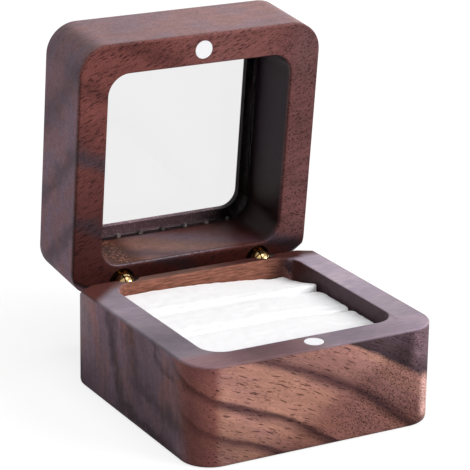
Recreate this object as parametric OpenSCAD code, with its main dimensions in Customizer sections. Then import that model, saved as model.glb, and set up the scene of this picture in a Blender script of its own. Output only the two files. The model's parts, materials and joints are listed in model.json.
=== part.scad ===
// Ring display box.
// A square hardwood base and lid, each carved from one block, turn on two brass barrel
// hinges let into the back rim. A clear pane is held against a thin lip in the lid, a disc
// magnet in each front rim keeps the box shut, and three velvet rolls grip the rings.
// Origin: centre of the underside. +X to the right, +Y to the hinges, +Z up.
// Every lid part is modelled shut, and is then turned about the hinge pins to open_angle.

/* [Box] */
// Width of the box, left to right
box_w = 60; // [56:0.5:80]
// Depth of the box, front to back
box_d = 60; // [56:0.5:80]
// Height of the base
base_h = 22.8; // [20:0.1:34]
// Height of the lid
lid_h = 18.1; // [15:0.1:26]
// Thickness of the side walls at the rims
wall = 7; // [6.6:0.1:9]
// Thickness of the base under the cushion
floor_t = 4; // [2.5:0.1:6]
// Radius of the upright outer corners
corner_r = 7; // [4:0.1:9]
// Radius of the upright inner corners
cavity_r = 5; // [4.5:0.1:8]
// Gap between the two rims when the box is shut
seat_gap = 0.1; // [0.05:0.01:0.3]
// Angle at which the lid stands open
open_angle = 84.4; // [60:0.1:90]

/* [Edges] */
// Rounding of the base's bottom edge
foot_edge = 1; // [0.4:0.1:1.5]
// Rounding of the lid's outer top edge
crown_edge = 0.6; // [0.3:0.1:1.5]
// Rounding of the outer edges of both rims
rim_edge = 0.4; // [0.2:0.1:0.8]
// Rounding of the inner edges of both rims
mouth_edge = 0.4; // [0.2:0.1:0.8]
// Bevel on the base's back rim, in from the back and down
base_bevel = 4.5; // [3.6:0.1:5]
// Bevel on the lid's back rim, in from the back and up
lid_bevel = 3.4; // [3:0.1:4.4]
// Distance from each side at which the bevels turn the corner
bevel_turn = 3.6; // [2:0.1:5]
// Angle by which the bevels turn at the corners
bevel_turn_angle = 30; // [10:1:45]

/* [Window] */
// Width of the lip that the pane rests on
lip_w = 2.4; // [1.5:0.1:3.5]
// Thickness of the lip
lip_t = 1.7; // [1.2:0.1:3]
// Radius of the window's corners
window_r = 4; // [2:0.1:6]
// Rounding of the window's outer edge
window_edge = 0.3; // [0.1:0.1:0.6]
// Thickness of the clear pane
pane_t = 1.5; // [1:0.1:2.5]
// Gap between the pane and the lid's walls
pane_gap = 0.2; // [0.1:0.05:0.4]
// Radius of the dabs of clear glue that hold the pane
dab_r = 0.8; // [0.5:0.1:1.4]
// Distance between the dabs along the lid's back and front walls
dab_pitch = 5.8; // [4:0.1:12]

/* [Hinges] */
// Distance between the two hinges
hinge_span = 35.2; // [28:0.1:38]
// Distance from the back of the box to the hinge pins
hinge_inset = 3.2; // [3.1:0.05:3.6]
// Depth of the pins below the base's rim
pin_drop = 1.5; // [1.2:0.1:1.8]
// Diameter of the hinge barrels
barrel_d = 4.8; // [4.4:0.1:5]
// Depth of the barrels below the rims
barrel_depth = 8.5; // [7:0.1:10]
// Diameter of the recess round each barrel's mouth
recess_d = 6; // [5.6:0.1:6.2]
// Depth of the recess in the lid
lid_recess = 1.2; // [0.6:0.1:1.8]
// Thickness of the tongue on each lower barrel
tongue_t = 1.3; // [1:0.1:1.6]
// Gap on each side of the tongue
tongue_gap = 0.3; // [0.15:0.05:0.4]
// Diameter of the hinge pins
pin_d = 1.2; // [0.9:0.1:1.5]
// Distance of a pin's ends inside the barrel's widest line
pin_sink = 0.15; // [0.1:0.05:0.4]
// Running clearance of the tongue on its pin, on the radius
pin_fit = 0.05; // [0.03:0.01:0.08]
// Seating clearance of the pin in its fork, on the radius
pin_seat = 0.02; // [0.01:0.01:0.04]
// Glue line round the barrels and magnets, on the radius
glue_gap = 0.05; // [0.03:0.01:0.1]
// Clearance between the turning ends of the barrels
turn_gap = 0.3; // [0.2:0.05:0.4]

/* [Catch] */
// Diameter of the disc magnets
magnet_d = 4.2; // [3:0.1:5]
// Thickness of the disc magnets
magnet_t = 3; // [2:0.1:4]

/* [Cushion] */
// Depth of the cushion's crown below the rim
cushion_drop = 2.4; // [1.6:0.1:5]
// Thickness of the card under the cushion
card_t = 1.2; // [0.8:0.1:2]
// Gap between the cushion or its card and the walls
cushion_gap = 0.3; // [0.2:0.05:0.6]
// Gap between a roll and the card
roll_gap = 0.1; // [0.05:0.05:0.3]
// Depth of the rear roll, front to back
rear_roll = 14.1; // [11:0.1:18]
// Depth of the middle roll, front to back
middle_roll = 13.4; // [11:0.1:18]
// Width of the slot between two rolls
slot_w = 0.4; // [0.3:0.05:1]
// Rounding of the rolls along their upper edges
roll_edge = 1.8; // [1:0.1:4]
// Rounding of the rolls at their upright ends
end_edge = 2.2; // [1:0.1:6]

/* [Hidden] */

$fn = 64;
EDGE_STEPS = 3;
OVERCUT = 1;
LEFT = -1;
RIGHT = 1;
DOWN = -1;
UP = 1;

WALNUT = "#5b3a2c";
BRASS = "#c9a24c";
NICKEL = "#d9dadb";
CLEAR = "#e8eef0";
VELVET = "#fbfbfb";
CARD = "#d8d4cc";

pin_y = box_d / 2 - hinge_inset;
pin_z = base_h - pin_drop;
lid_z = base_h + seat_gap;
barrel_r = barrel_d / 2;
end_gap = barrel_r + turn_gap;
cavity_w = box_w - 2 * wall;
cavity_d = box_d - 2 * wall;
lid_cavity_h = lid_h - lip_t;
pane_z = lid_z + lid_cavity_h - pane_t;
pane_r = cavity_r - pane_gap;
magnet_y = -(box_d - wall) / 2;
cushion_w = cavity_w - 2 * cushion_gap;
cushion_d = cavity_d - 2 * cushion_gap;
cushion_r = cavity_r - cushion_gap;
roll_z = floor_t + card_t + roll_gap;
roll_h = base_h - cushion_drop - roll_z;
front_roll = cushion_d - rear_roll - middle_roll - 2 * slot_w;
dabs_each_way = floor((cavity_w / 2 - cavity_r) / dab_pitch);

// ---------- outlines ----------

// Points of an arc round [cx, cy], from angle a to angle b
function arc(cx, cy, r, a, b) = [
    for (i = [0 : EDGE_STEPS])
        let (t = a + (b - a) * i / EDGE_STEPS)
        [cx + r * cos(t), cy + r * sin(t)]
];

// Half section of a block with its lower and upper edges rounded
function block_section(r, h, low, high) = concat(
    [[0, 0]],
    arc(r - low, low, low, -90, 0),
    arc(r - high, h - high, high, 0, 90),
    [[0, h]]
);

// Half section of a hollow whose mouth opens outwards in a rounding
function hollow_section(r, h, mouth) = concat(
    [[0, 0], [r, 0]],
    arc(r + mouth, h - mouth, mouth, 180, 90),
    [[r + mouth, h + OVERCUT], [0, h + OVERCUT]]
);

// Section of a 45 degree bevel that starts at the rim and reaches past the back
function bevel_section(size, way) =
    let (reach = size + 2 * OVERCUT)
    [[0, 0], [0, -way * OVERCUT], [reach, -way * OVERCUT], [reach, way * reach]];

// ---------- shapes used by several parts ----------

// A block with rounded corners: a half section swept along the sides and round the corners
module swept_block(w, d, r, section) {
    run_x = w - 2 * r;
    run_y = d - 2 * r;
    height = max([for (p = section) p[1]]);
    translate([-run_x / 2, -run_y / 2, 0]) cube([run_x, run_y, height]);
    for (turn = [0, 180]) rotate([0, 0, turn]) {
        translate([run_x / 2, run_y / 2, 0]) {
            rotate([90, 0, 0]) linear_extrude(run_y) polygon(section);
            rotate_extrude(angle = 90) polygon(section);
        }
        translate([-run_x / 2, run_y / 2, 0]) {
            rotate([90, 0, 90]) linear_extrude(run_x) polygon(section);
            rotate([0, 0, 90]) rotate_extrude(angle = 90) polygon(section);
        }
    }
}

// A flat plate with rounded corners
module plate(w, d, r, h) {
    linear_extrude(h) {
        square([w - 2 * r, d], center = true);
        square([w, d - 2 * r], center = true);
        for (x = [-1, 1], y = [-1, 1])
            translate([x * (w / 2 - r), y * (d / 2 - r)]) circle(r);
    }
}

// Puts its children at one hinge, with their origin on the pin's axis
module at_hinge(side) {
    translate([side * hinge_span / 2, pin_y, pin_z]) children();
}

// Turns shut lid parts about the hinge pins until the lid stands open
module opened() {
    translate([0, pin_y, pin_z]) rotate([-open_angle, 0, 0])
        translate([0, -pin_y, -pin_z]) children();
}

// Points its children down, into the base, or leaves them up, into the lid
module into(way) {
    mirror([0, 0, way == DOWN ? 1 : 0]) children();
}

// Cuts a back rim's bevel: a straight run, and a turn at each corner
module back_bevel(size, rim_z, way) {
    section = bevel_section(size, way);
    translate([0, box_d / 2 - size, rim_z]) {
        translate([-box_w / 2 - OVERCUT, 0, 0]) rotate([90, 0, 90])
            linear_extrude(box_w + 2 * OVERCUT) polygon(section);
        for (side = [LEFT, RIGHT])
            translate([side * (box_w / 2 - bevel_turn), 0, 0])
                rotate([0, 0, -side * bevel_turn_angle])
                    translate([-corner_r, 0, 0]) rotate([90, 0, 90])
                        linear_extrude(2 * corner_r) polygon(section);
    }
}

// Cuts one rim's two barrel bores and the recesses round their mouths
module barrel_bores(rim_z, way, recess) {
    for (side = [LEFT, RIGHT])
        translate([side * hinge_span / 2, pin_y, rim_z]) into(way)
            translate([0, 0, -OVERCUT]) {
                cylinder(r = barrel_r + glue_gap, h = barrel_depth + OVERCUT);
                cylinder(d = recess_d, h = recess + OVERCUT);
            }
}

module magnet_pocket(rim_z, way) {
    translate([0, magnet_y, rim_z]) into(way) translate([0, 0, -OVERCUT])
        cylinder(d = magnet_d + 2 * glue_gap, h = magnet_t + OVERCUT);
}

// A turned rod with a ball end: the ball's centre is on the pin's axis
module barrel_blank(length) {
    sphere(barrel_r);
    cylinder(r = barrel_r, h = length);
}

module pin_hole(clearance) {
    rotate([0, 90, 0])
        cylinder(d = pin_d + 2 * clearance, h = barrel_d + 2 * OVERCUT, center = true);
}

// ---------- base ----------

module base_body() {
    color(WALNUT) difference() {
        swept_block(box_w, box_d, corner_r,
            block_section(corner_r, base_h, foot_edge, rim_edge));
        translate([0, 0, floor_t])
            swept_block(cavity_w, cavity_d, cavity_r,
                hollow_section(cavity_r, base_h - floor_t, mouth_edge));
        back_bevel(base_bevel, base_h, DOWN);
        barrel_bores(base_h, DOWN, pin_drop + end_gap);
        magnet_pocket(base_h, DOWN);
    }
}

module base_magnet() {
    color(NICKEL) translate([0, magnet_y, base_h - magnet_t])
        cylinder(d = magnet_d, h = magnet_t);
}

// Lower barrel: its ball end is cut on both sides to a tongue that turns on the pin
module hinge_base_barrel(side) {
    color(BRASS) at_hinge(side) difference() {
        into(DOWN) barrel_blank(barrel_depth - pin_drop);
        for (cut = [LEFT, RIGHT])
            translate([cut * (tongue_t + barrel_d) / 2, 0, 0])
                cube([barrel_d, 2 * barrel_d, 2 * end_gap], center = true);
        pin_hole(pin_fit);
    }
}

module hinge_base_barrel_left() {
    hinge_base_barrel(LEFT);
}

module hinge_base_barrel_right() {
    hinge_base_barrel(RIGHT);
}

// ---------- lid ----------

module lid_frame() {
    color(WALNUT) opened() difference() {
        translate([0, 0, lid_z])
            swept_block(box_w, box_d, corner_r,
                block_section(corner_r, lid_h, rim_edge, crown_edge));
        translate([0, 0, lid_z + lid_cavity_h]) into(DOWN)
            swept_block(cavity_w, cavity_d, cavity_r,
                hollow_section(cavity_r, lid_cavity_h, mouth_edge));
        translate([0, 0, lid_z + lid_cavity_h - OVERCUT])
            swept_block(cavity_w - 2 * lip_w, cavity_d - 2 * lip_w, window_r,
                hollow_section(window_r, lip_t + OVERCUT, window_edge));
        back_bevel(lid_bevel, lid_z, UP);
        barrel_bores(lid_z, UP, lid_recess);
        magnet_pocket(lid_z, UP);
    }
}

module lid_magnet() {
    color(NICKEL) opened() translate([0, magnet_y, lid_z])
        cylinder(d = magnet_d, h = magnet_t);
}

// Upper barrel: its ball end is slotted to a fork that straddles the tongue
module hinge_lid_barrel(side) {
    color(BRASS) opened() at_hinge(side) difference() {
        barrel_blank(pin_drop + seat_gap + barrel_depth);
        cube([tongue_t + 2 * tongue_gap, 2 * barrel_d, 2 * end_gap], center = true);
        pin_hole(pin_seat);
    }
}

module hinge_lid_barrel_left() {
    hinge_lid_barrel(LEFT);
}

module hinge_lid_barrel_right() {
    hinge_lid_barrel(RIGHT);
}

// Hinge pin, held in the fork
module hinge_pin(side) {
    color(BRASS) opened() at_hinge(side) rotate([0, 90, 0])
        cylinder(d = pin_d, h = barrel_d - 2 * pin_sink, center = true);
}

module hinge_pin_left() {
    hinge_pin(LEFT);
}

module hinge_pin_right() {
    hinge_pin(RIGHT);
}

module window_pane() {
    color(CLEAR, 0.35) opened() translate([0, 0, pane_z])
        plate(cavity_w - 2 * pane_gap, cavity_d - 2 * pane_gap, pane_r, pane_t);
}

// Dabs of glue in the angle between the pane and the lid's back and front walls. They keep
// to the straight of each wall.
module pane_glue() {
    color(CLEAR, 0.5) opened() translate([0, 0, pane_z])
        for (turn = [0, 180], i = [-dabs_each_way : dabs_each_way])
            rotate([0, 0, turn]) translate([i * dab_pitch, cavity_d / 2, 0]) intersection() {
                sphere(dab_r);
                translate([-dab_r, -dab_r, -dab_r]) cube([2 * dab_r, dab_r, dab_r]);
            }
}

// ---------- cushion ----------

module cushion_card() {
    color(CARD) translate([0, 0, floor_t]) plate(cushion_w, cushion_d, cushion_r, card_t);
}

// Section of a roll with its two upper corners rounded, from x = 0 to the right
module roll_section(width, r) {
    square([width, roll_h - r]);
    translate([r, 0]) square([width - 2 * r, roll_h]);
    for (x = [r, width - r]) translate([x, roll_h - r]) circle(r);
}

// A roll of padded velvet that reaches forward from back_y. Its upper edges and its ends
// are round, and the cavity shapes it in plan.
module cushion_roll(back_y, depth) {
    color(VELVET) translate([0, 0, roll_z]) intersection() {
        plate(cushion_w, cushion_d, cushion_r, roll_h);
        translate([-cushion_w / 2, back_y - depth, 0]) rotate([90, 0, 90])
            linear_extrude(cushion_w) roll_section(depth, roll_edge);
        translate([-cushion_w / 2, cushion_d / 2, 0]) rotate([90, 0, 0])
            linear_extrude(cushion_d) roll_section(cushion_w, end_edge);
    }
}

module cushion_roll_rear() {
    cushion_roll(cushion_d / 2, rear_roll);
}

module cushion_roll_middle() {
    cushion_roll(cushion_d / 2 - rear_roll - slot_w, middle_roll);
}

module cushion_roll_front() {
    cushion_roll(front_roll - cushion_d / 2, front_roll);
}

base_body();
base_magnet();
hinge_base_barrel_left();
hinge_base_barrel_right();
hinge_lid_barrel_left();
hinge_lid_barrel_right();
hinge_pin_left();
hinge_pin_right();
lid_frame();
lid_magnet();
window_pane();
pane_glue();
cushion_card();
cushion_roll_rear();
cushion_roll_middle();
cushion_roll_front();
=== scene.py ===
"""A walnut ring display box: base and lid on brass barrel hinges, a window, magnets and velvet rolls."""

import json
import math

import bmesh
import bpy
from mathutils import Matrix, Vector, noise

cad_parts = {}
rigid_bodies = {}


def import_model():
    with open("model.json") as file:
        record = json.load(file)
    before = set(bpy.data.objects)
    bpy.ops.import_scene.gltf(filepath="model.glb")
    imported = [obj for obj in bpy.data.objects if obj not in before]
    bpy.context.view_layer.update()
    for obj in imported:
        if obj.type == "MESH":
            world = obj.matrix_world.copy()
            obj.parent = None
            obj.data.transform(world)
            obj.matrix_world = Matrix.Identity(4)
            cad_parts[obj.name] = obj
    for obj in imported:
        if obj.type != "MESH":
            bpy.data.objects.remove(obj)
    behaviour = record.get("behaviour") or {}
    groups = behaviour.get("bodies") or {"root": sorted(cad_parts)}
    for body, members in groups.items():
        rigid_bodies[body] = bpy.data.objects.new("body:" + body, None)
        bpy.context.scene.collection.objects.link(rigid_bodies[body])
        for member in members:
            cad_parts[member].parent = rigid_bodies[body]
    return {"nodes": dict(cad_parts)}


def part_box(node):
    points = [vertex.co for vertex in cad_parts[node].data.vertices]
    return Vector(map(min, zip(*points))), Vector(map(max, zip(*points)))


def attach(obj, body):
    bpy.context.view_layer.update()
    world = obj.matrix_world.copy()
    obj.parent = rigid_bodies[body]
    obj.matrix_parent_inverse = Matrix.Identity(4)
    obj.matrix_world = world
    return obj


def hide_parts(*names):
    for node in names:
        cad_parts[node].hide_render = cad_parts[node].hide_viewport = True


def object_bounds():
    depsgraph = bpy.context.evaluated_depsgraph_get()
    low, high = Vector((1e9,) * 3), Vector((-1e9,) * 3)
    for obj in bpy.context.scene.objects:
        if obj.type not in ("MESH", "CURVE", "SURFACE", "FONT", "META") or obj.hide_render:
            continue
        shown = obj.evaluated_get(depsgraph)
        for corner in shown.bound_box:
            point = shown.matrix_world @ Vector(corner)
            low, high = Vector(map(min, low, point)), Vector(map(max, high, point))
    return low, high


bl_info = {
    "name": "Ring display box",
    "version": (1, 0, 0),
    "blender": (4, 5, 0),
    "location": "View3D > Sidebar > Ring box",
    "description": "Finishes the wood, metal, window and velvet of a ring display box",
    "category": "Object",
}

for thing in list(bpy.data.objects):
    bpy.data.objects.remove(thing)
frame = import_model()
cad_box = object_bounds()

# Lengths and places are in millimetres, unless a comment says otherwise
MM = 0.001
ROLLS = ("cushion_roll_rear", "cushion_roll_middle", "cushion_roll_front")
HINGE_PARTS = [name for name in frame["nodes"] if name.startswith("hinge_")]

# Half the box's width, and the middle of the right hinge's pin
HALF = -cad_box[0][0] / MM
PIN = sum(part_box("hinge_pin_right"), Vector()) / 2 / MM

# Where the tree's heart lay, left of the middle of the base and under the table, and the rings' mean radius
HEART_LEFT = 78.0
HEART_BELOW = 147.0
RING_RADIUS = 175.0

# Where the base's outside gives way to its rim, and where its well begins from each side
RIM = (22.0, 22.6)
WELL_SIDE = (23.8, 23.4)
WELL_FRONT = (6.4, 6.8)
WELL_BACK = (53.6, 53.2)

# The open lid leans back. Its foot is its rim's outer corner on the hinge side, measured along the lean
LID_LEAN = math.radians(5.6)
LID_FOOT = Vector((0, 30.35, 15.38))

# The hinges' holes get painted shade inside these radii, and the brass gets painted shade from the lid's
# bores above these heights
HOLE_SHADE = (3.3, 3.05)
BORE_SHADE = (24.0, 25.6)

# The rolls' upright corners, and how high their cloth is held while it swells
ROLL_CORNER = 1.6
HELD_HEIGHT = 2.0

# While a roll is stuffed: how many times larger it is, the pressure in it and the steps it takes
CLOTH_SCALE = 25.0
CLOTH_PRESSURE = 4
CLOTH_STEPS = 20

# How much of the floor's own glow and of its matt colour is seen
FLOOR_GLOW = 0.82
FLOOR_MATT = 0.4

# The camera's place in metres, and its turn to the right, tilt down and roll in radians
CAMERA_PLACE = Vector((-0.2424, -0.4211, 0.2037))
CAMERA_YAW = 0.5142
CAMERA_PITCH = 0.3281
CAMERA_ROLL = 0.0161


# ---------------------------------------------------------------- properties


def colour(name, description, default):
    """A colour property; default is linear red, green and blue."""
    return bpy.props.FloatVectorProperty(
        name=name, description=description, default=default, subtype="COLOR", size=3, min=0, max=1
    )


def srgb(*levels):
    """Linear red, green and blue from screen values of 0 to 255."""
    shares = [level / 255 for level in levels]
    return tuple(s / 12.92 if s <= 0.04045 else ((s + 0.055) / 1.055) ** 2.4 for s in shares)


class RingBoxWood(bpy.types.PropertyGroup):
    """Colours and finish of the walnut"""

    tan: colour("Tan", "Open wood between the dark rings", srgb(172, 126, 114))
    russet: colour("Russet", "Red-brown wood of the lid's face", srgb(102, 58, 54))
    streak: colour("Streak", "Dark rings", srgb(108, 74, 72))
    # Heart: purple-brown wood whose grey-purple cast is partly painted sheen of the white surround
    heart: colour("Heart", "Purple-brown heartwood", srgb(124, 98, 107))
    # Rim: the grey-mauve is painted sheen, the white surround's reflection on the sanded rim put into its
    # colour
    rim: colour("Rim", "Grey-mauve wood of the base's sanded rim", srgb(146, 133, 144))
    cavity: colour("Back wall", "Orange-brown wood behind the cushion", srgb(130, 84, 69))
    # Corner tint: redder wood and painted shade where the front turns into the left corner
    corner_tint_and_shade: colour("Corner tint", "Darkening of the wood at the left corner", (0.45, 0.33, 0.36))
    pore: colour("Pore tint", "Darkening of the open pores", (0.15, 0.1, 0.11))
    roughness: bpy.props.FloatProperty(
        name="Roughness", description="Satin oil finish", default=0.42, min=0.05, max=1, subtype="FACTOR"
    )


class RingBoxMetal(bpy.types.PropertyGroup):
    """Colours of the hinges and magnets"""

    brass: colour("Brass", "Hinge barrels and pins", srgb(206, 174, 122))
    # Used for real dull spots on all the brass, and as painted shade inside the lid's bores
    tarnish_and_shade: colour("Tarnish", "Dark brass inside the hinges", srgb(58, 44, 32))
    nickel: colour("Nickel", "Catch magnets", srgb(248, 248, 250))


class RingBoxWindow(bpy.types.PropertyGroup):
    """Colours of the pane and its glue"""

    pane: colour("Pane", "Clear window", srgb(234, 234, 234))
    glue: colour("Glue", "Clear dabs that hold the pane", srgb(118, 106, 102))


class RingBoxCushion(bpy.types.PropertyGroup):
    """Colours and cloth of the cushion"""

    velvet: colour("Velvet", "White velvet", srgb(252, 252, 254))
    card: colour("Card", "Backing card", srgb(206, 200, 190))
    pile: bpy.props.FloatProperty(
        name="Pile", description="Size of the velvet's tufts", default=0.35 * MM, unit="LENGTH"
    )
    voxel: bpy.props.FloatProperty(
        name="Cloth size", description="Mesh size of the stuffed rolls", default=0.5 * MM, unit="LENGTH"
    )
    puff: bpy.props.FloatProperty(
        name="Puff", description="How far the cloth may swell", default=0.12 * MM, unit="LENGTH"
    )
    crown: bpy.props.FloatProperty(
        name="Crown", description="Rounding of each roll's top edges", default=0.25 * MM, unit="LENGTH"
    )


class RingBoxStage(bpy.types.PropertyGroup):
    """Camera lens, lights and floor"""

    lens: bpy.props.FloatProperty(
        name="Lens", description="Focal length of the camera", default=180.84, subtype="NONE"
    )
    key: bpy.props.FloatProperty(name="Key", description="Light from the front right", default=2.6)
    top: bpy.props.FloatProperty(name="Top", description="Light from above", default=1.42)
    ambient: bpy.props.FloatProperty(name="Ambient", description="Light from all round", default=0.22)
    floor: colour("Floor", "Pale floor", (0.55, 0.55, 0.55))


# ---------------------------------------------------------------- nodes


class Net:
    """Adds and joins the nodes of one tree."""

    def __init__(self, tree):
        self.tree = tree

    def put(self, socket, value):
        """Links a socket to the input, or sets the input to a number or colour."""
        if isinstance(value, bpy.types.NodeSocket):
            self.tree.links.new(value, socket)
        elif socket.type == "RGBA" and len(value) == 3:
            socket.default_value = (*value, 1)
        else:
            socket.default_value = value

    def node(self, kind, ins=(), **settings):
        """Adds a node with its inputs and its settings."""
        made = self.tree.nodes.new(kind)
        for key, value in settings.items():
            setattr(made, key, value)
        for key, value in dict(ins).items():
            self.put(made.inputs[key], value)
        return made

    def place(self):
        """Where a point is on its object, in metres."""
        return self.node("ShaderNodeTexCoord").outputs["Object"]

    def maths(self, operation, *values):
        """Works out one number from others."""
        made = self.node("ShaderNodeMath", operation=operation)
        for socket, value in zip(made.inputs, values):
            self.put(socket, value)
        return made.outputs[0]

    def add(self, a, b):
        return self.maths("ADD", a, b)

    def sub(self, a, b):
        return self.maths("SUBTRACT", a, b)

    def mul(self, a, b):
        return self.maths("MULTIPLY", a, b)

    def hypot(self, a, b):
        """The long side of a right-angled triangle."""
        return self.maths("SQRT", self.add(self.mul(a, a), self.mul(b, b)))

    def both(self, *masks):
        """Where all the masks are."""
        found = masks[0]
        for mask in masks[1:]:
            found = self.mul(found, mask)
        return found

    def most(self, *masks):
        """Where any of the masks is."""
        found = masks[0]
        for mask in masks[1:]:
            found = self.maths("MAXIMUM", found, mask)
        return found

    def split(self, vector):
        """A vector's x, y and z."""
        return self.node("ShaderNodeSeparateXYZ", {"Vector": vector}).outputs[:]

    def join(self, x, y, z):
        """A vector from its x, y and z."""
        return self.node("ShaderNodeCombineXYZ", {"X": x, "Y": y, "Z": z}).outputs[0]

    def grey(self, value):
        """A vector or colour whose three parts are the value."""
        return self.join(value, value, value)

    def vector(self, operation, a, b):
        """Works out one vector from two."""
        made = self.node("ShaderNodeVectorMath", operation=operation)
        self.put(made.inputs[0], a)
        self.put(made.inputs[1], b)
        return made.outputs[0]

    def times(self, colour, factor):
        """A colour times a factor for each of red, green and blue."""
        return self.vector("MULTIPLY", colour, factor)

    def mapped(self, vector, location=(0, 0, 0), rotation=(0, 0, 0), scale=(1, 1, 1)):
        """A place that is scaled, turned and then moved."""
        return self.node(
            "ShaderNodeMapping",
            {"Vector": vector, "Location": location, "Rotation": rotation, "Scale": scale},
        ).outputs[0]

    def noise(self, vector, scale, detail=2.0, roughness=0.5):
        """Soft clouds from 0 to 1."""
        return self.node(
            "ShaderNodeTexNoise",
            {"Vector": vector, "Scale": scale, "Detail": detail, "Roughness": roughness},
        ).outputs[0]

    def span(self, value, low, high, out_low=0.0, out_high=1.0, smooth=True):
        """Goes from out_low to out_high while the value goes from low to high, and stays there outside."""
        return self.node(
            "ShaderNodeMapRange",
            {"Value": value, "From Min": low, "From Max": high, "To Min": out_low, "To Max": out_high},
            interpolation_type="SMOOTHSTEP" if smooth else "LINEAR",
        ).outputs[0]

    def band(self, value, begin, full, fade, end):
        """A mask that rises from begin to full and falls from fade to end."""
        return self.both(self.span(value, begin, full), self.span(value, end, fade))

    def sway(self, clouds, size):
        """Turns clouds into a shift of up to the size to either side."""
        return self.span(clouds, 0.0, 1.0, -size, size, smooth=False)

    def blend(self, factor, a, b):
        """Colour a where the factor is 0, and b where it is 1."""
        made = self.node("ShaderNodeMix", data_type="RGBA", blend_type="MIX", clamp_factor=True)
        self.put(made.inputs[0], factor)
        self.put(made.inputs[6], a)
        self.put(made.inputs[7], b)
        return made.outputs[2]

    def shade(self, mask, colour, factor):
        """The colour, times the factor where the mask is."""
        return self.blend(mask, colour, self.times(colour, factor))

    def ramp(self, value, stops):
        """Colours over a range of the value, from (place, colour) pairs."""
        first, last = stops[0][0], stops[-1][0]
        made = self.node("ShaderNodeValToRGB", {"Fac": self.span(value, first, last, smooth=False)})
        elements = made.color_ramp.elements
        while len(elements) < len(stops):
            elements.new(0.5)
        for element, (place, shade) in zip(elements, stops):
            element.position = (place - first) / (last - first)
            element.color = (*shade, 1)
        return made.outputs["Color"]

    def rings(self, ring, dark_rings):
        """A mask of dark growth rings, each given by where it begins, is darkest and ends."""
        return self.most(*(self.band(ring, begin, dark, dark, end) for begin, dark, end in dark_rings))

    def bump(self, height, distance, strength=1.0):
        """A normal from heights of 0 to 1, which stand for the distance."""
        return self.node(
            "ShaderNodeBump", {"Height": height, "Distance": distance, "Strength": strength}
        ).outputs[0]


def new_material(name):
    """A new material, its tree's Net and its Principled shader."""
    made = bpy.data.materials.new(name)
    made.use_nodes = True
    return made, Net(made.node_tree), made.node_tree.nodes["Principled BSDF"]


def new_group(name, ins, outs):
    """A shader group, its Net, its inputs and its output node."""
    tree = bpy.data.node_groups.new(name, "ShaderNodeTree")
    for label, kind in ins:
        tree.interface.new_socket(label, in_out="INPUT", socket_type=kind)
    for label, kind in outs:
        tree.interface.new_socket(label, in_out="OUTPUT", socket_type=kind)
    source = tree.nodes.new("NodeGroupInput")
    return tree, Net(tree), source.outputs, tree.nodes.new("NodeGroupOutput")


def use_group(net, tree, **ins):
    """Places a shader group in a material with its own values."""
    return net.node("ShaderNodeGroup", ins, node_tree=tree).outputs


def settle(shader, **levels):
    """Sets plain levels of a shader, with underscores for the spaces in their names."""
    for key, value in levels.items():
        shader.inputs[key.replace("_", " ")].default_value = value


def dress(names, material):
    """Gives CAD nodes their material."""
    for name in names:
        for slot in frame["nodes"][name].material_slots:
            slot.material = material


# ---------------------------------------------------------------- wood


def pore_layer(net, along, fine, length, share, size):
    """Long thin pits along x, one in each cell that the share keeps."""
    x, y, z = net.split(along)
    stretched = net.join(net.maths("DIVIDE", x, length), y, z)
    cells = net.node("ShaderNodeTexVoronoi", {"Vector": stretched, "Scale": fine, "Randomness": 1.0})
    chance = net.node("ShaderNodeSeparateColor", {"Color": cells.outputs["Color"]}).outputs
    kept = net.maths("LESS_THAN", chance[0], share)
    depth = net.span(chance[1], 0.0, 1.0, 0.6, 1.0, smooth=False)
    pit = net.span(cells.outputs["Distance"], size, net.mul(size, 0.65))
    return net.both(pit, kept, depth)


def grain_group():
    """Fibre lines and open pores of walnut. Along is a place in millimetres whose x follows the fibres."""
    numbers = ("Fineness", "Length", "Share", "Size")
    tree, net, ins, out = new_group(
        "walnut_grain",
        [("Along", "NodeSocketVector"), *((label, "NodeSocketFloat") for label in numbers)],
        [("Fibre", "NodeSocketFloat"), ("Pores", "NodeSocketFloat")],
    )
    waves = net.node("ShaderNodeTexNoise", {"Vector": ins["Along"], "Scale": 0.12, "Detail": 1.0})
    sway = net.times(net.vector("SUBTRACT", waves.outputs["Color"], (0.5, 0.5, 0.5)), (0, 1.6, 1.6))
    along = net.vector("ADD", ins["Along"], sway)
    fine = net.noise(net.mapped(along, scale=(0.3, 3.2, 3.2)), 1.0, 2.0, 0.6)
    soft = net.noise(net.mapped(along, scale=(0.06, 0.7, 0.7)), 1.0, 2.0, 0.5)
    speck = net.noise(along, 3.0, 2.0, 0.6)
    fibre = net.add(net.add(net.mul(fine, 0.45), net.mul(soft, 0.25)), net.mul(speck, 0.3))
    crowd = net.noise(net.mapped(along, scale=(0.1, 0.4, 0.4)), 1.0, 2.0)
    share = net.mul(net.span(crowd, 0.35, 0.65, 0.35, 1.4), ins["Share"])
    long_pores = pore_layer(net, along, ins["Fineness"], ins["Length"], share, ins["Size"])
    short_pores = pore_layer(
        net, along, net.mul(ins["Fineness"], 1.5), net.mul(ins["Length"], 0.5), share, ins["Size"]
    )
    net.put(out.inputs["Fibre"], fibre)
    net.put(out.inputs["Pores"], net.most(long_pores, net.mul(short_pores, 0.7)))
    return tree


def finish_wood(net, shader, figure, fibre, pores, wood):
    """Satin oil finish: the fibres tint the figure, the pores are dark and sunk."""
    contrast = 0.4
    tint = net.span(fibre, 0.3, 0.7, 1 - contrast, 1 + contrast, smooth=False)
    tinted = net.times(figure, net.grey(tint))
    net.put(shader.inputs["Base Color"], net.shade(pores, tinted, wood.pore))
    net.put(shader.inputs["Roughness"], net.add(wood.roughness, net.mul(pores, 0.25)))
    height = net.sub(net.mul(fibre, 0.4), pores)
    net.put(shader.inputs["Normal"], net.bump(height, 0.05 * MM, 0.6))
    settle(shader, Specular_IOR_Level=0.12, Specular_Tint=(1, 0.82, 0.87, 1))


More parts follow.
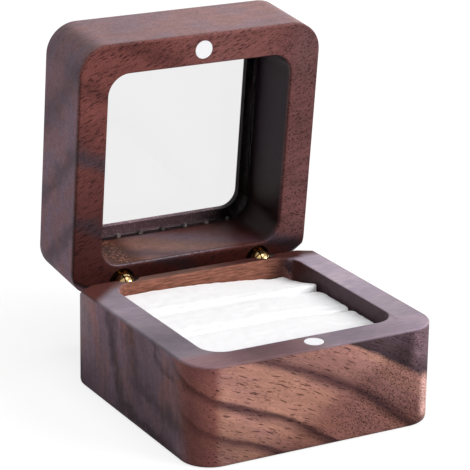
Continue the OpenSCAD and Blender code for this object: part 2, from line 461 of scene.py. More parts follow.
def hinge_hole_shade(net, across, behind):
    """Painted shade in the drilled holes of the two hinges, by how far a place is across and behind the pins'
    line.
    """
    off = net.sub(net.maths("ABSOLUTE", across), PIN.x)
    return net.span(net.hypot(off, behind), *HOLE_SHADE)


# ---------------------------------------------------------------- base


class BasePlace:
    """A place in the base's block, in millimetres: across and behind from its middle, deep from its front,
    high from the table, and in flow, which follows the tree's rings."""

    def __init__(self, net):
        self.block = net.mapped(net.place(), scale=(1 / MM, 1 / MM, 1 / MM))
        self.across, self.behind, self.high = net.split(self.block)
        self.deep = net.add(self.behind, HALF)
        x = net.add(self.across, HEART_LEFT)
        z = net.add(self.high, HEART_BELOW)
        self.radius = net.hypot(x, z)
        along_ring = net.mul(net.maths("ARCTAN2", z, x), -RING_RADIUS)
        self.flow = net.join(along_ring, self.radius, self.behind)
        self.ripple = net.noise(net.mapped(self.flow, scale=(0.05, 0.3, 0.3)), 1.0, 3.0, 0.6)


def front_wood(net, at, wood):
    """The front's ring numbers and colour: tan wood with dark rings that fall to the right."""
    tan, russet, streak, heart = (Vector(c) for c in (wood.tan, wood.russet, wood.streak, wood.heart))
    climb = net.mul(at.deep, net.add(net.mul(at.deep, 0.0095), 0.33))
    climb = net.mul(climb, net.span(at.across, -20.0, 26.0, 1.0, 0.1))
    sag = net.mul(net.span(at.across, -12.0, 4.0), net.span(at.high, 12.0, 2.0, 0.0, 1.7))
    ring = net.add(net.sub(at.radius, climb), sag)
    ring = net.add(ring, net.sway(at.ripple, 1.4))
    # Below ring 168 the front is darker: partly the wood, partly painted shade towards the bottom
    shade = net.ramp(ring, [
        (100, russet * 1.2), (130, tan * 0.5), (146, russet * 1.2), (153, tan * 0.56), (163, tan * 0.6),
        (168, tan * 0.95), (173, tan), (175, tan * 0.9), (178, tan), (183, tan * 0.72), (188.6, tan),
        (189.2, tan * 0.85), (189.7, heart * 0.25), (197, heart * 0.42),
    ])
    streaks = net.rings(ring, [(160.6, 162.9, 163.9), (167.8, 170.3, 171.3), (178.6, 180.8, 183.4)])
    shade = net.blend(streaks, shade, streak * 0.64)
    tone = net.noise(net.mapped(at.flow, scale=(0.05, 0.22, 0.22)), 1.0, 2.0)
    tones = net.blend(net.span(tone, 0.38, 0.62), (1.06, 1.03, 0.94), (0.95, 0.9, 0.95))
    return ring, net.times(shade, tones)


def side_wood(net, at, wood):
    """The left side's ring numbers and colour: heartwood with dark rings that climb to the back."""
    heart = Vector(wood.heart)
    steep = net.add(net.mul(at.high, 0.25), net.sub(178.4, net.mul(at.deep, 0.75)))
    ring = net.maths("MINIMUM", net.sub(at.radius, net.mul(at.deep, 0.12)), steep)
    ring = net.add(ring, net.sway(at.ripple, 3.0))
    shade = net.ramp(ring, [
        (100, heart), (120, heart * 1.35), (149, heart * 1.3), (157, heart * 1.1), (163, heart * 0.85),
        (171, heart * 0.9), (176, heart * 1.25), (183, heart * 0.9), (190, heart * 1.2),
    ])
    streaks = net.rings(ring, [
        (133.0, 136.6, 141.0), (150.5, 153.6, 156.6), (157.5, 161.2, 164.0), (168.6, 169.9, 171.2),
    ])
    shade = net.blend(streaks, shade, heart * 0.53)
    tilted = net.mapped(at.block, scale=(0.2, 1.5, 0.22), rotation=(math.radians(14), 0, 0))
    brushed = net.span(net.noise(tilted, 0.55, 4.0, 0.65), 0.3, 0.7, 0.86, 1.14)
    shade = net.times(shade, net.grey(brushed))
    tilted = net.mapped(at.block, scale=(0.1, 0.13, 0.08), rotation=(math.radians(30), 0, 0))
    warm = net.span(net.noise(tilted, 1.0, 3.0, 0.6), 0.45, 0.65)
    return ring, net.shade(net.both(warm, net.span(at.high, 2.0, 18.0, 0.3, 1.0)), shade, (1.4, 1.05, 0.8))


def shaded_block(net, at, wood, ring, figure, left, corner):
    """The block's broad light and dark areas, with painted shade darker down the left side and lighter at its
    top, and a painted highlight at the front's right corner.
    """
    tan, heart, rim = (Vector(c) for c in (wood.tan, wood.heart, wood.rim))
    front = net.span(left, 0.0, 1.0, 1.0, 0.0)
    low_right = net.span(net.sub(at.across, net.mul(at.high, 1.6)), -20.0, -6.0)
    figure = net.shade(net.both(low_right, front, 0.85), figure, (0.52, 0.44, 0.45))
    low_middle = net.span(net.sub(at.across, net.mul(at.high, 0.8)), -19.0, -13.0)
    low_middle = net.both(low_middle, net.span(at.across, 9.0, -1.0), front)
    figure = net.shade(low_middle, figure, (0.9, 0.88, 0.88))
    right = net.both(net.span(at.across, 6.0, 20.0), net.span(at.high, 3.0, 10.0))
    figure = net.shade(right, figure, (1.32, 1.45, 1.5))
    # Painted shade on the left side: darker and bluer towards the bottom, lighter towards the top
    painted_shade_by_height = net.ramp(at.high, [(0, (0.5, 0.52, 0.56)), (8, (0.75, 0.77, 0.82)), (22.8, (1.2, 1.22, 1.3))])
    figure = net.shade(net.both(left, net.span(corner, 4.0, 14.0)), figure, painted_shade_by_height)
    back_left = net.both(left, net.span(at.deep, 44.0, 58.0), net.span(at.high, 4.0, 18.0))
    figure = net.blend(back_left, figure, rim * Vector((1.4, 1.28, 1.2)))
    top_right = net.both(net.span(at.across, 21.5, 24.5), net.span(at.high, 11.0, 18.0))
    figure = net.blend(top_right, figure, heart * 1.05)
    fading = net.both(net.span(at.across, 4.0, -10.0), net.band(ring, 178.8, 180.4, 182.4, 184.0), front)
    figure = net.shade(fading, figure, (1.25, 1.3, 1.3))
    # Painted highlight at the front's right corner, laid along a ring
    pale = net.both(net.span(at.across, 24.6, 26.8), net.band(ring, 182.0, 184.5, 188.8, 190.5))
    return net.blend(pale, figure, tan * Vector((1.85, 2.15, 2.35)))


def rim_sheen_and_shadow(net, at, wood):
    """The sanded rim: grey-mauve painted sheen over the wood, purple-brown at the left of the front and brown
    along the back, where painted shadow of the lid darkens it to the right and at the back-left corner.
    """
    rim, tan, russet, heart = (Vector(c) for c in (wood.rim, wood.tan, wood.russet, wood.heart))
    # The grey-mauve ramps are painted sheen, lighter and darker along the rim
    left = net.ramp(at.deep, [(2, rim * 0.8), (19, rim * 0.54), (38, rim * 1.02), (55, rim * 0.64)])
    right = net.ramp(at.deep, [
        (2, rim * 1.25), (12, rim * 1.06), (34, rim * 1.52), (50, rim * 1.44), (53, russet * 0.55),
    ])
    shade = net.blend(net.span(at.across, -22.0, 22.0), left, right)
    front = net.ramp(at.across, [
        (-28, heart * 1.3), (-14, heart * 0.64), (-3, heart * 0.9), (3, rim * 0.78), (12, rim * 0.74),
        (27, rim * 1.2),
    ])
    front = net.times(front, net.blend(net.span(at.across, -2.0, 6.0), (1.0, 0.97, 0.87), (1.03, 0.98, 1.0)))
    shade = net.blend(net.span(at.deep, 9.0, 5.5), shade, front)
    # Painted shadow of the lid: the back of the rim darkens to the right
    back = net.ramp(at.across, [
        (-25, rim * 0.75), (-18, tan * 0.42), (-10, tan * 0.34), (1, tan * 0.33), (10, russet * 0.4),
    ])
    shade = net.blend(net.both(net.span(at.deep, 50.5, 52.5), net.span(at.across, 26.0, 24.6)), shade, back)
    cloudy = net.noise(net.mapped(at.block, scale=(0.1, 0.16, 0.1)), 1.0, 3.0, 0.6)
    shade = net.times(shade, net.blend(net.span(cloudy, 0.35, 0.65), (0.9, 0.89, 0.93), (1.1, 1.08, 1.06)))
    # Painted shadow and reflection of the lid at the rim's back-left corner
    back_left = net.span(net.sub(at.deep, net.mul(at.across, 0.9)), 70.5, 74.5)
    return net.blend(net.both(back_left, net.span(at.across, -16.0, -20.0)), shade, russet * 0.7)


def base_wood(wood, grain):
    """The base's block: tan in front, heartwood at the left, with a grey-mauve rim of painted sheen and a
    brown well whose back and right walls get painted shade.
    """
    made, net, shader = new_material("walnut_base")
    at = BasePlace(net)
    tan, russet, heart = (Vector(c) for c in (wood.tan, wood.russet, wood.heart))
    ring, open_wood = front_wood(net, at, wood)
    side_ring, heart_wood = side_wood(net, at, wood)
    left = net.span(at.across, -20.5, -22.8)
    corner = net.sub(at.behind, at.across)
    corner = net.add(corner, net.sway(at.ripple, 1.5))
    # The front-left corner: redder wood, darkened by painted shade where it turns away from the key light
    red = net.times(net.blend(0.35, net.times(open_wood, wood.corner_tint_and_shade), russet), (1.5, 1.6, 1.6))
    figure = net.blend(net.both(net.span(corner, -6.6, -3.8), left), open_wood, red)
    leaning = net.sub(corner, net.mul(net.sub(at.high, 4.0), 0.22))
    figure = net.blend(net.both(net.span(leaning, 2.0, 9.0), left), figure, heart_wood)
    figure = shaded_block(net, at, wood, ring, figure, left, corner)

    rim = net.span(at.high, *RIM)
    # The rim: wood with painted sheen and painted shadow of the lid
    figure = net.blend(rim, figure, rim_sheen_and_shadow(net, at, wood))
    under_rim = net.span(at.high, 22.9, 22.6)
    between = net.span(net.maths("ABSOLUTE", at.across), *WELL_SIDE)
    well_back = net.both(net.span(at.deep, 50.5, 52.5), net.span(at.deep, *WELL_BACK), under_rim, between)
    # Painted shadow of the right wall: the well's back wall darkens to the right
    brown = net.blend(net.span(at.across, 15.0, 23.0), wood.cavity, russet * 0.4)
    figure = net.blend(well_back, figure, brown)
    length = net.both(net.span(at.deep, *WELL_FRONT), net.span(at.deep, *WELL_BACK))
    well_right = net.both(net.band(at.across, 22.0, 22.6, 23.2, 23.6), under_rim, length)
    # Painted shade: the well's right wall is made dark
    dark = net.blend(net.span(at.deep, 34.0, 50.0), heart * 0.42, russet * 0.42)
    figure = net.blend(well_right, figure, dark)
    right_side = net.blend(net.span(side_ring, 120.0, 170.0), tan * 0.4, heart * 1.3)
    figure = net.blend(net.span(at.across, 29.2, 29.9, 0.0, 0.7), figure, right_side)
    holes = hinge_hole_shade(net, at.across, net.sub(at.behind, PIN.y))
    # Painted shade in the hinges' holes
    figure = net.shade(net.both(holes, net.span(at.high, 11.0, 12.0)), figure, (0.12, 0.1, 0.1))

    slope = net.sub(at.across, net.mul(at.high, 0.9))
    dotted = net.span(slope, -12.0, 2.0)
    dot_share = net.span(slope, -12.0, 12.0, 0.5, 1.4)
    lines = use_group(net, grain, Along=at.flow, Fineness=2.2, Length=9.0, Share=0.55, Size=0.36)
    dots = use_group(net, grain, Along=at.flow, Fineness=3.0, Length=2.0, Share=dot_share, Size=0.44)
    line_pores = net.mul(lines["Pores"], net.span(dotted, 0.0, 1.0, 1.0, 0.4))
    pores = net.most(line_pores, net.mul(dots["Pores"], dotted))
    closed = net.most(rim, net.mul(left, net.span(corner, -6.0, 2.0)), well_back, well_right)
    pores = net.mul(pores, net.span(closed, 0.0, 1.0, 1.0, 0.06))
    straight = net.noise(net.mapped(at.block, scale=(0.28, 2.6, 2.6)), 1.0, 3.0, 0.7)
    fibre = net.blend(rim, lines["Fibre"], net.span(straight, 0.0, 1.0, 0.3, 0.7, smooth=False))
    fibre = net.blend(well_back, fibre, net.span(straight, 0.0, 1.0, -0.3, 1.3, smooth=False))
    finish_wood(net, shader, figure, fibre, pores, wood)
    return made


# ---------------------------------------------------------------- lid


class LidPlace:
    """A place in the lid's block, in millimetres: across from its middle, thick from its rim, along from
    its hinge side, and in flow, which follows the fibres."""

    def __init__(self, net):
        self.block = net.mapped(
            net.place(), location=-LID_FOOT, rotation=(-LID_LEAN, 0, 0), scale=(1 / MM, 1 / MM, 1 / MM)
        )
        self.across, self.thick, self.along = net.split(self.block)
        self.flow = net.mapped(self.block, rotation=(0, math.radians(22), 0))
        ripple = net.noise(net.mapped(self.flow, scale=(0.05, 0.25, 0.25)), 1.0, 3.0, 0.6)
        ring = net.add(net.add(self.along, self.thick), net.mul(self.across, 0.55))
        self.ring = net.add(ring, net.sway(ripple, 4.0))


def lid_rim(net, at, wood):
    """The lid's rim: russet with purple-brown rings, with painted shade darker to the hinges and to the lower
    left, greyer to the right.
    """
    russet, heart = Vector(wood.russet), Vector(wood.heart)
    # The low rings are darker russet, painted shade towards the hinge side
    shade = net.ramp(at.ring, [
        (-10, russet * 0.6), (7, russet * 0.9), (24, russet), (30, russet * 1.33), (58, russet * 1.25),
        (80, russet * 1.1),
    ])
    shade = net.blend(net.rings(at.ring, [(32.0, 36.0, 38.5), (46.0, 49.0, 54.0)]), shade, russet * 0.88)
    shade = net.blend(net.rings(at.ring, [(0.0, 3.0, 7.0), (15.5, 19.2, 23.2)]), shade, heart * 0.3)
    # Painted shade at the lower left of the rim
    low_left_shade = net.both(net.span(at.across, -4.0, -24.0), net.span(at.along, 34.0, 12.0))
    shade = net.shade(low_left_shade, shade, (0.6, 0.5, 0.5))
    # Painted shadow along the hinge side, next to the base's rim
    hinge_side_shadow = net.both(net.span(at.along, 8.5, 5.5), net.span(at.across, -26.0, -10.0))
    shade = net.shade(hinge_side_shadow, shade, (0.3, 0.2, 0.17))
    top_right = net.both(net.span(at.across, -14.0, 6.0), net.span(at.along, 42.0, 54.0))
    shade = net.shade(top_right, shade, (1.24, 1.48, 1.55))
    right = net.both(net.span(at.across, 17.0, 23.0, 0.0, 0.6), net.span(at.along, 14.0, 20.0))
    shade = net.blend(right, shade, russet * 1.15)
    return net.shade(net.span(at.across, 18.0, 26.0, 0.0, 0.8), shade, (0.92, 1.25, 1.45))


def lid_outside(net, at, wood):
    """The lid's outer sides and top: purple heartwood with soft streaks and warmer clouds."""
    heart = Vector(wood.heart)
    shade = net.ramp(at.ring, [
        (-6, heart * 1.55), (6, heart * 1.4), (13, heart * 1.4), (28, heart * 1.5), (50, heart * 1.3),
        (80, heart * 1.2),
    ])
    streaks = net.rings(at.ring, [(-3.0, 2.0, 7.0), (15.0, 19.5, 25.0), (31.0, 38.0, 48.0)])
    shade = net.blend(streaks, shade, heart * 0.88)
    blush = net.noise(net.mapped(at.flow, scale=(0.06, 0.2, 0.2)), 1.0, 2.0)
    cool, warm = net.times(shade, (0.94, 0.98, 1.06)), net.times(shade, (1.07, 0.97, 0.95))
    shade = net.blend(net.span(blush, 0.4, 0.6), cool, warm)
    top_left = net.both(net.span(at.across, -24.0, -27.0), net.span(at.along, 50.0, 57.0))
    shade = net.shade(top_left, shade, (0.62, 0.65, 0.64))
    top = net.blend(net.span(at.across, -25.0, 20.0), (0.84, 0.85, 0.74), (1.12, 1.1, 0.92))
    return net.shade(net.span(at.along, 57.0, 59.5), shade, top)


def lid_inside(net, at, wood):
    """The lid's well: brown streaks that darken to the right by painted shadow of the right wall, and darker
    at the left corner, end grain at the left, a dark lip.
    """
    tan, russet, heart = (Vector(c) for c in (wood.tan, wood.russet, wood.heart))
    shade = net.ramp(at.ring, [
        (-4, tan * 0.4), (2, tan * 0.75), (6, heart * 0.65), (10, tan * 0.75), (14, tan * 0.65),
        (18, heart * 0.95), (22, russet * 1.1), (33, russet * 0.4), (50, russet * 0.3),
    ])
    # Painted shadow of the right wall darkens the well to the right; it is also darker at the left corner
    shade = net.times(shade, net.ramp(at.across, [
        (-19, (0.22, 0.1, 0.06)), (-13.5, (0.3, 0.16, 0.11)), (-10, (0.82, 0.76, 0.74)),
        (-2, (0.78, 0.8, 0.82)), (2, (0.7, 0.74, 0.8)), (8, (0.6, 0.58, 0.6)), (14, (0.32, 0.26, 0.28)),
        (22, (0.12, 0.09, 0.1)),
    ]))
    speck = net.noise(at.block, 2.2, 1.0)
    end_grain = net.both(
        net.span(at.across, -12.5, -16.0), net.span(at.along, 16.0, 12.0), net.span(speck, 0.54, 0.66)
    )
    shade = net.blend(end_grain, shade, tan * Vector((0.72, 0.62, 0.5)))
    # Painted shade: the lid's inner right wall is made near black
    right_wall_shade = net.blend(net.span(at.along, 14.0, 30.0), (0.016, 0.006, 0.006), (0.02, 0.009, 0.016))
    shade = net.blend(net.span(at.across, 19.0, 22.5), shade, right_wall_shade)
    # Painted shade: near black on the walls beside the pane's edge and the lip's inner face
    shade = net.blend(net.band(at.thick, 13.4, 14.2, 16.3, 16.6), shade, (0.012, 0.007, 0.008))
    lip = net.blend(net.span(speck, 0.5, 0.66), heart * 0.75, heart * 2.2)
    # Painted shade: the lip turns near black towards the right wall
    lip = net.blend(net.span(at.across, 14.0, 18.0), lip, (0.006, 0.004, 0.005))
    return net.blend(net.span(at.thick, 16.3, 16.6), shade, lip)


def lid_wood(wood, grain):
    """The lid's block: a russet rim with many short pores, purple outer sides and a dark brown well."""
    made, net, shader = new_material("walnut_lid")
    at = LidPlace(net)
    reach = net.most(net.maths("ABSOLUTE", at.across), net.maths("ABSOLUTE", net.sub(at.along, HALF)))
    outer = net.most(net.span(reach, 24.5, 26.0), net.span(at.thick, 17.5, 17.8))
    figure = net.blend(outer, lid_inside(net, at, wood), lid_outside(net, at, wood))
    rim = net.span(at.thick, 1.6, 0.5)
    figure = net.blend(rim, figure, lid_rim(net, at, wood))
    # Painted highlight: a pale line along the lid's lower inner edge
    edge_highlight = net.both(
        net.span(reach, 23.4, 23.2), net.span(at.along, 12.0, 10.0), net.band(at.thick, 0.1, 0.3, 0.5, 0.7),
        net.span(at.across, 14.0, 4.0),
    )
    figure = net.blend(edge_highlight, figure, Vector(wood.rim) * 0.8)
    holes = hinge_hole_shade(net, at.across, net.sub(at.along, HALF - PIN.y))
    # Painted shade in the hinges' holes
    figure = net.shade(net.both(holes, net.span(at.thick, 12.0, 11.0)), figure, (0.12, 0.1, 0.1))

    dashes = use_group(net, grain, Along=at.flow, Fineness=2.1, Length=4.6, Share=0.9, Size=0.42)
    dots = use_group(net, grain, Along=at.flow, Fineness=2.4, Length=2.2, Share=0.95, Size=0.45)
    dotted = net.span(at.across, 8.0, 24.0)
    pores = net.add(net.mul(dashes["Pores"], net.sub(1.0, dotted)), net.mul(dots["Pores"], dotted))
    pores = net.mul(pores, net.span(rim, 0.0, 1.0, 0.22, 0.85))
    finish_wood(net, shader, figure, dashes["Fibre"], pores, wood)
    return made


class RINGBOX_OT_wood(bpy.types.Operator):
    """Finishes the walnut base and lid"""

    bl_idname = "ringbox.wood"
    bl_label = "Walnut base and lid"

    def execute(self, context):
        wood = context.scene.ring_box_wood
        grain = grain_group()
        dress(["base_body"], base_wood(wood, grain))
        dress(["lid_frame"], lid_wood(wood, grain))
        return {"FINISHED"}


# ---------------------------------------------------------------- metal


def polished(name, shade, dull, roughness, scale, metallic=1):
    """Polished metal with cloudy dull spots: its material, Net, shader and colour."""
    made, net, shader = new_material(name)
    spot = net.place()
    cloud = net.noise(spot, scale, 4.0, 0.6)
    scuff = net.noise(net.mapped(spot, scale=(1, 6, 1)), scale * 3, 2.0)
    tone = net.blend(net.span(cloud, 0.4, 0.75, 0.0, 0.5), shade, dull)
    net.put(shader.inputs["Base Color"], tone)
    net.put(shader.inputs["Roughness"], net.span(cloud, 0.3, 0.8, roughness, roughness + 0.12))
    net.put(shader.inputs["Normal"], net.bump(scuff, 0.01 * MM, 0.3))
    settle(shader, Metallic=metallic)
    return made, net, shader, tone


def brass_material(metal):
    """Polished brass with dull spots, and painted shade of the dark brass colour where the lid's bores would
    shade it.
    """
    made, net, shader, tone = polished("polished_brass", metal.brass, metal.tarnish_and_shade, 0.14, 500.0)
    high = net.mul(net.split(net.place())[2], 1 / MM)
    # Painted shade: the brass turns to the dark brass colour where the lid's bores would shade it
    shaded = net.span(high, *BORE_SHADE)
    net.put(shader.inputs["Base Color"], net.blend(shaded, tone, metal.tarnish_and_shade))
    return made


class RINGBOX_OT_metal(bpy.types.Operator):
    """Finishes the brass barrel hinges and the nickel catch magnets"""

    bl_idname = "ringbox.metal"
    bl_label = "Hinges and magnets"

    def execute(self, context):
        metal = context.scene.ring_box_metal
        dress(HINGE_PARTS, brass_material(metal))
        nickel = Vector(metal.nickel)
        plate = polished("nickel_plate", nickel, nickel * 0.9, 0.5, 700.0, metallic=0.2)
        dress(["base_magnet", "lid_magnet"], plate[0])
        return {"FINISHED"}


# ---------------------------------------------------------------- window


def pane_material(window):
    """A clear pane with a faint haze. Lamps light what is behind it."""
    made, net, shader = new_material("clear_pane")
    clear = Vector(window.pane)
    haze = net.span(net.noise(net.place(), 60.0, 2.0), 0.3, 0.7)
    net.put(shader.inputs["Base Color"], net.blend(haze, clear, clear * 0.99))
    settle(shader, Transmission_Weight=1, Roughness=0.0, IOR=1.2, Specular_IOR_Level=0.05)
    lamp_ray = net.node("ShaderNodeLightPath").outputs["Is Shadow Ray"]
    open_air = net.node("ShaderNodeBsdfTransparent", {"Color": clear}).outputs[0]
    mixed = net.node("ShaderNodeMixShader", {0: lamp_ray, 1: shader.outputs[0], 2: open_air}).outputs[0]
    net.put(made.node_tree.nodes["Material Output"].inputs["Surface"], mixed)
    return made


def glue_material(window):
    """Lumpy clear glue with dark dirt in it."""
    made, net, shader = new_material("clear_glue")
    spot = net.place()
    lump = net.noise(spot, 1500.0, 3.0)
    sooty = net.span(net.noise(spot, 110.0), 0.5, 0.58)
    dirt = net.most(sooty, net.span(lump, 0.3, 0.7))
    clear = Vector(window.glue)
    net.put(shader.inputs["Base Color"], net.blend(dirt, clear, clear * 0.15))
    net.put(shader.inputs["Normal"], net.bump(lump, 0.15 * MM))
    settle(shader, Roughness=0.35, Specular_IOR_Level=0.2, Transmission_Weight=0.2)
    return made


class RINGBOX_OT_window(bpy.types.Operator):
    """Finishes the clear pane and the glue that holds it"""

    bl_idname = "ringbox.window"
    bl_label = "Window pane and glue"

    def execute(self, context):
        window = context.scene.ring_box_window
        dress(["window_pane"], pane_material(window))
        dress(["pane_glue"], glue_material(window))
        return {"FINISHED"}


# ---------------------------------------------------------------- cushion


def velvet_material(cushion):
    """White velvet, with painted shade a little darker between its tufts."""
    made, net, shader = new_material("white_velvet")
    spot = net.place()
    tufts = net.noise(spot, 1 / cushion.pile, 3.0, 0.6)
    brushed = net.noise(net.mapped(spot, scale=(1, 0.4, 1)), 160.0, 2.0)
    # Painted shade between the tufts
    between = net.mul(net.span(tufts, 0.6, 0.3), net.span(brushed, 0.3, 0.8, 0.05, 0.2))
    pale = Vector(cushion.velvet)
    net.put(shader.inputs["Base Color"], net.blend(between, pale, pale * 0.85))
    net.put(shader.inputs["Normal"], net.bump(tufts, 0.12 * MM, 0.3))
    settle(shader, Roughness=0.95, Sheen_Weight=1.0, Sheen_Roughness=0.5)
    return made


def card_material(cushion):
    """Grey board with fine fibres."""
    made, net, shader = new_material("grey_card")
    fibres = net.noise(net.place(), 1200.0, 3.0)
    grey = Vector(cushion.card)
    net.put(shader.inputs["Base Color"], net.blend(fibres, grey, grey * 0.8))
    settle(shader, Roughness=0.9)
    return made


def puff_up(roll, cushion):
    """Swells a scaled-up roll: cloth under pressure, its underside held, no point moving past the puff."""
    scene = bpy.context.scene
    start = [v.co.copy() for v in roll.data.vertices]
    held_top = min(p.z for p in start) + HELD_HEIGHT * MM * CLOTH_SCALE
    held = roll.vertex_groups.new(name="held")
    held.add([i for i, p in enumerate(start) if p.z < held_top], 1.0, "REPLACE")
    cloth = roll.modifiers.new("cloth", "CLOTH")
    cloth.settings.use_pressure = True
    cloth.settings.uniform_pressure_force = CLOTH_PRESSURE
    cloth.settings.vertex_group_mass = held.name
    cloth.settings.effector_weights.gravity = 0
    for step in range(1, CLOTH_STEPS + 1):
        scene.frame_set(step)
    bpy.ops.object.modifier_apply(modifier=cloth.name)
    scene.frame_set(1)
    cap = cushion.puff * CLOTH_SCALE
    for vertex, was in zip(roll.data.vertices, start):
        moved = vertex.co - was
        if moved.length > cap:
            vertex.co = was + moved * (cap / moved.length)
    roll.vertex_groups.clear()


def stuff(roll, cushion):
    """Gives a roll an even mesh and swells it, scaled up meanwhile because cloth behaves better large."""
    roll.data.transform(Matrix.Scale(CLOTH_SCALE, 4))
    remesh = roll.modifiers.new("remesh", "REMESH")
    remesh.mode = "VOXEL"
    remesh.voxel_size = cushion.voxel * CLOTH_SCALE
    bpy.context.view_layer.objects.active = roll
    bpy.ops.object.modifier_apply(modifier=remesh.name)
    puff_up(roll, cushion)
    roll.data.transform(Matrix.Scale(1 / CLOTH_SCALE, 4))


def smooth_step(value, low, high):
    """0 below low, 1 above high, and an even curve between."""
    share = min(max((value - low) / (high - low), 0), 1)
    return share * share * (3 - 2 * share)


def crown_height(name, x, y):
    """How far a roll's crown stands over its solid's top, in millimetres. To the right the rear roll rises
    in front, falls along its back and is tucked up in the back corner, and the other rolls fall."""
    if name == "cushion_roll_rear":
        back = min(max((y - 9) / 13.4, 0), 1)
        fall = 0.0024 * (x + 14) ** 2 * back * (1.35 - 0.35 * back)
        tuck = 0.6 * math.exp(-((x - 20.6) ** 2 + (y - 21.6) ** 2) / 1.4)
        return 0.1 + 0.25 * smooth_step(x, 4, 18) - fall + tuck
    return -0.95 * smooth_step(x, 6, 21)


def shape_roll(roll, name, top):
    """Gives a stuffed roll its crown, with the small waves of hand-tucked velvet."""
    for vertex in roll.data.vertices:
        x, y, z = vertex.co / MM
        share = smooth_step(z, 8, top / MM)
        wave = noise.noise(Vector((x * 0.5, y * 0.5, z * 0.3))) * 0.16
        wave += noise.noise(Vector((x * 1.6, y * 1.6, z))) * 0.07
        vertex.co.z += (crown_height(name, x, y) + wave) * share * MM


def round_edges(mesh, edges, radius, segments):
    """Rounds the edges of a bmesh."""
    bmesh.ops.bevel(
        mesh, geom=edges, affect="EDGES", offset=radius, segments=segments, profile=0.5, material=-1
    )


def velvet_roll(name, cushion):
    """One stuffed roll in the space of its CAD solid, square sided and softly rounded on top."""
    low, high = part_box(name)
    room = Vector((1, 1, 0)) * cushion.puff * 0.4  # left free for the cloth to swell into
    low, high = low + room, high - room - Vector((0, 0, cushion.puff * 0.5))
    size = high - low
    mesh = bmesh.new()
    bmesh.ops.create_cube(mesh, size=1)
    bmesh.ops.scale(mesh, vec=size, verts=mesh.verts)
    bmesh.ops.translate(mesh, vec=(low + high) / 2, verts=mesh.verts)
    corners = [e for e in mesh.edges if abs(e.verts[0].co.z - e.verts[1].co.z) > size.z / 2]
    round_edges(mesh, corners, ROLL_CORNER * MM, 4)
    on_top = [e for e in mesh.edges if all(v.co.z > high.z - 0.1 * MM for v in e.verts)]
    crown = [e for e in on_top if len(e.link_faces) == 2 and any(f.normal.z < 0.5 for f in e.link_faces)]
    round_edges(mesh, crown, cushion.crown, 5)
    roll = new_object(name.replace("cushion", "velvet"), mesh)
    stuff(roll, cushion)
    shape_roll(roll, name, high.z)
    for polygon in roll.data.polygons:
        polygon.use_smooth = True
    fine = roll.modifiers.new("fine", "SUBSURF")
    fine.levels = fine.render_levels = 1
    roll.data.materials.append(bpy.data.materials["white_velvet"])
    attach(roll, "base")
    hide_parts(name)
    return roll


class RINGBOX_OT_cushion(bpy.types.Operator):
    """Makes the three stuffed velvet rolls and finishes the card under them"""

    bl_idname = "ringbox.cushion"
    bl_label = "Velvet cushion"

    def execute(self, context):
        cushion = context.scene.ring_box_cushion
        velvet_material(cushion)
        for name in ROLLS:
            velvet_roll(name, cushion)
        dress(["cushion_card"], card_material(cushion))
        return {"FINISHED"}


# ---------------------------------------------------------------- stage


def new_object(name, mesh):
    """An object at the origin from a bmesh, which is freed."""
    data = bpy.data.meshes.new(name)
    mesh.to_mesh(data)
    mesh.free()
    made = bpy.data.objects.new(name, data)
    bpy.context.scene.collection.objects.link(made)
    return made


def seen(net, *rays):
    """1 for rays of the named kinds that no matt surface gathers, and 0 for other light."""
    path = net.node("ShaderNodeLightPath").outputs
    return net.mul(net.most(*(path[ray] for ray in rays)), net.maths("LESS_THAN", path["Diffuse Depth"], 0.5))


def white_surround(scene, stage):
    """A world that is seen as white and lights the box by the stage's ambient level."""
    world = bpy.data.worlds.new("white_surround")
    scene.world = world
    world.use_nodes = True
    net = Net(world.node_tree)
    background = world.node_tree.nodes["Background"]
    net.put(background.inputs["Color"], (1, 1, 1))
    white = seen(net, "Is Camera Ray", "Is Glossy Ray", "Is Transmission Ray")
    net.put(background.inputs["Strength"], net.add(stage.ambient, net.mul(white, 1 - stage.ambient)))


def pale_floor(stage):
    """A round floor that is seen nearly white and keeps the box's shadow."""
    mesh = bmesh.new()
    bmesh.ops.create_circle(mesh, cap_ends=True, segments=96, radius=3)
    bmesh.ops.translate(mesh, verts=mesh.verts, vec=(0, 0, -0.02 * MM))
    floor = new_object("floor", mesh)
    made, net, shader = new_material("pale_floor")
    made.node_tree.nodes.remove(shader)
    looked_at = seen(net, "Is Camera Ray", "Is Transmission Ray")
    pale = net.times(stage.floor, net.grey(net.span(looked_at, 0.0, 1.0, 1.0, FLOOR_MATT, smooth=False)))
    matt = net.node("ShaderNodeBsdfDiffuse", {"Color": pale})
    glow = net.node("ShaderNodeEmission", {"Color": (1, 1, 1), "Strength": net.mul(looked_at, FLOOR_GLOW)})
    surface = net.node("ShaderNodeAddShader", {0: matt.outputs[0], 1: glow.outputs[0]})
    net.put(made.node_tree.nodes["Material Output"].inputs["Surface"], surface.outputs[0])
    floor.data.materials.append(made)


def sun(scene, name, strength, spread, heading):
    """A sun with the given spread in degrees, whose light comes from the heading."""
    light = bpy.data.lights.new(name, "SUN")
    light.energy = strength
    light.angle = math.radians(spread)
    lamp = bpy.data.objects.new(name, light)
    lamp.rotation_mode = "QUATERNION"
    lamp.rotation_quaternion = Vector(heading).to_track_quat("Z", "Y")
    scene.collection.objects.link(lamp)


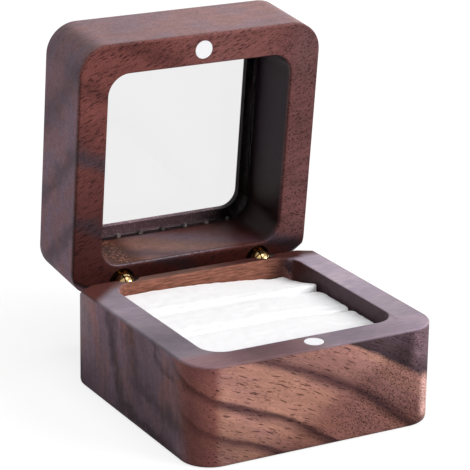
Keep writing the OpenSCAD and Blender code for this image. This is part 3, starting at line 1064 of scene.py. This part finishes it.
def place_camera(scene, stage):
    """A long lens to the left of the front, looking down a little."""
    camera = bpy.data.objects.new("camera", bpy.data.cameras.new("camera"))
    camera.data.sensor_width = 36
    camera.data.lens = stage.lens
    camera.data.clip_start = 0.01
    camera.data.clip_end = 20
    camera.rotation_mode = "XYZ"
    sin_yaw, cos_yaw = math.sin(CAMERA_YAW), math.cos(CAMERA_YAW)
    sin_pitch, cos_pitch = math.sin(CAMERA_PITCH), math.cos(CAMERA_PITCH)
    ahead = Vector((sin_yaw * cos_pitch, cos_yaw * cos_pitch, -sin_pitch))
    level = Vector((cos_yaw, -sin_yaw, 0))
    plumb = level.cross(ahead)
    right = math.cos(CAMERA_ROLL) * level + math.sin(CAMERA_ROLL) * plumb
    up = -math.sin(CAMERA_ROLL) * level + math.cos(CAMERA_ROLL) * plumb
    turn = Matrix((right, up, -ahead)).transposed()
    camera.matrix_world = Matrix.Translation(CAMERA_PLACE) @ turn.to_4x4()
    scene.collection.objects.link(camera)
    scene.camera = camera


class RINGBOX_OT_stage(bpy.types.Operator):
    """Makes the floor, the lights, the white surround and the camera"""

    bl_idname = "ringbox.stage"
    bl_label = "Floor, lights and camera"

    def execute(self, context):
        scene, stage = context.scene, context.scene.ring_box_stage
        scene.view_settings.view_transform = "Standard"
        white_surround(scene, stage)
        pale_floor(stage)
        sun(scene, "key", stage.key, 30, (0.64, -0.77, 0.5))
        sun(scene, "top", stage.top, 40, (0.0, -0.2, 1.0))
        place_camera(scene, stage)
        return {"FINISHED"}


# ---------------------------------------------------------------- panel


class RINGBOX_PT_panel(bpy.types.Panel):
    """Lists each group's values with its operator"""

    bl_idname = "RINGBOX_PT_panel"
    bl_label = "Ring display box"
    bl_space_type = "VIEW_3D"
    bl_region_type = "UI"
    bl_category = "Ring box"

    def draw(self, context):
        for group, kind, operator in SECTIONS:
            box = self.layout.box()
            for key in kind.__annotations__:
                box.prop(getattr(context.scene, group), key)
            box.operator(operator)


SECTIONS = (
    ("ring_box_wood", RingBoxWood, "ringbox.wood"),
    ("ring_box_metal", RingBoxMetal, "ringbox.metal"),
    ("ring_box_window", RingBoxWindow, "ringbox.window"),
    ("ring_box_cushion", RingBoxCushion, "ringbox.cushion"),
    ("ring_box_stage", RingBoxStage, "ringbox.stage"),
)
OPERATORS = (RINGBOX_OT_wood, RINGBOX_OT_metal, RINGBOX_OT_window, RINGBOX_OT_cushion, RINGBOX_OT_stage)


def register():
    """Adds the classes, and each group's values to the scene."""
    for kind in (*(s[1] for s in SECTIONS), *OPERATORS, RINGBOX_PT_panel):
        bpy.utils.register_class(kind)
    for group, kind, _ in SECTIONS:
        setattr(bpy.types.Scene, group, bpy.props.PointerProperty(type=kind))


def unregister():
    """Takes away what register added."""
    for group, _, _ in SECTIONS:
        delattr(bpy.types.Scene, group)
    for kind in (RINGBOX_PT_panel, *OPERATORS, *(s[1] for s in SECTIONS)):
        bpy.utils.unregister_class(kind)


def main():
    """Finishes the box."""
    register()
    bpy.ops.ringbox.wood()
    bpy.ops.ringbox.metal()
    bpy.ops.ringbox.window()
    bpy.ops.ringbox.cushion()
    bpy.ops.ringbox.stage()


if __name__ == "__main__":
    main()
